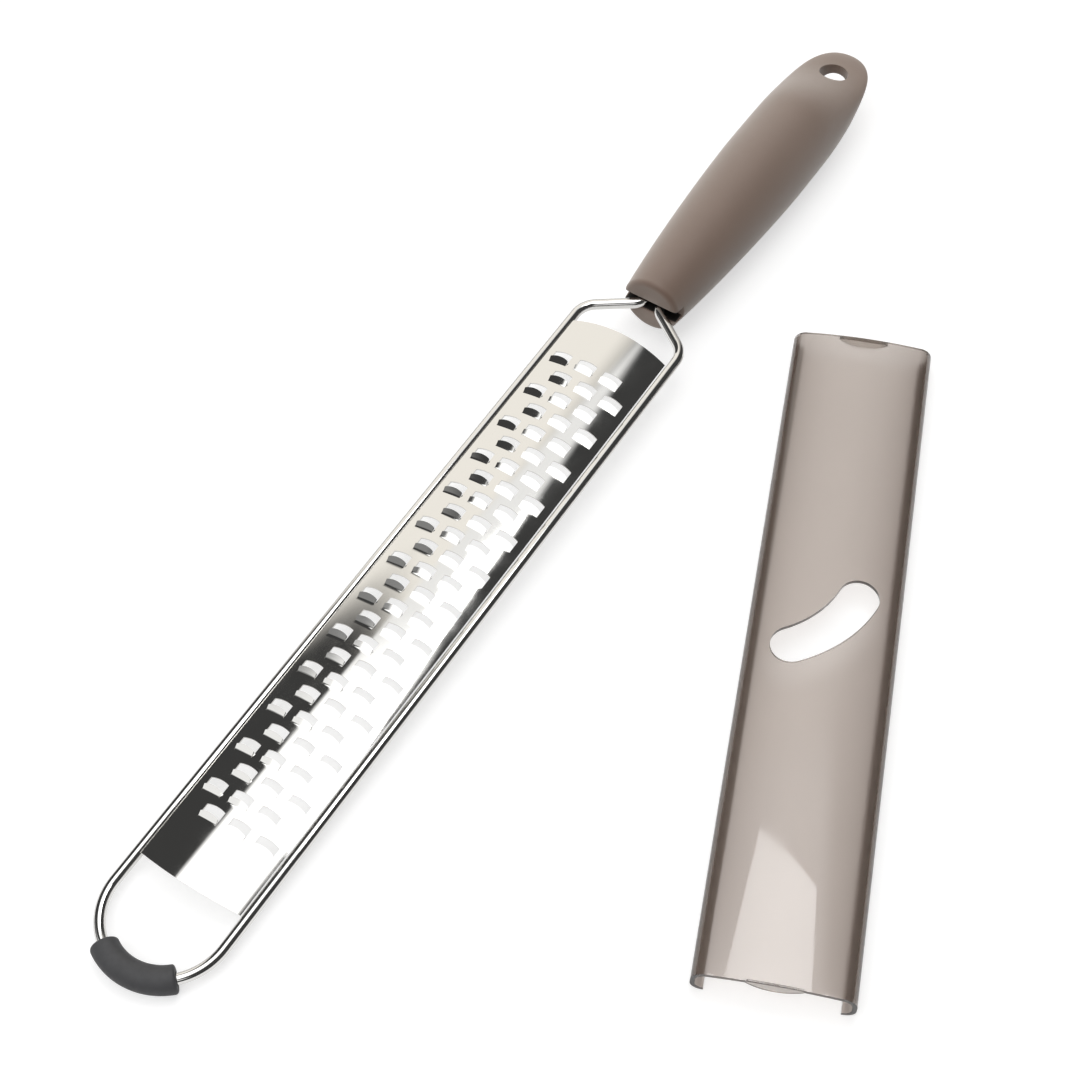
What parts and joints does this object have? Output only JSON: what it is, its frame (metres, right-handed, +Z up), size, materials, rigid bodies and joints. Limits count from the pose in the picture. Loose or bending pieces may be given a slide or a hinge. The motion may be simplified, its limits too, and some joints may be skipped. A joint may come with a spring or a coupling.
{
  "type": "wand grater with cover",
  "caption": "Long hand-held wand grater: arched toothed steel blade on a bent wire frame, soft handle with a hang hole, rubber end foot, and a loose translucent slide-on cover.",
  "frame": {"origin": "on the table, under the middle of the frame's loop, on the foot's flat pad", "axes": "+Y along the grater from the foot to the handle, +Z up from the table, +X to the side where the cover lies"},
  "size_m": [0.1853, 0.3993, 0.0296],
  "materials": {
    "wire_steel": "bright drawn stainless wire",
    "blade_steel": "mirror-polished stainless sheet",
    "foot_rubber": "matt moulded rubber",
    "grip_soft_touch": "soft-touch taupe",
    "core_plastic": "plain black moulding",
    "cover_plastic": "smoky translucent, glossy"
  },
  "bodies": {
    "grater": {"wire_frame": "wire_steel", "blade": "blade_steel", "end_foot": "foot_rubber", "handle_grip": "grip_soft_touch", "handle_core": "core_plastic"},
    "cover": {"cover": "cover_plastic"}
  },
  "joints": [
    {"name": "cover_lift", "type": "slide", "parent": "grater", "child": "cover", "axis": [0, 0, 1], "range_m": [0, 0.1]}
  ]
}
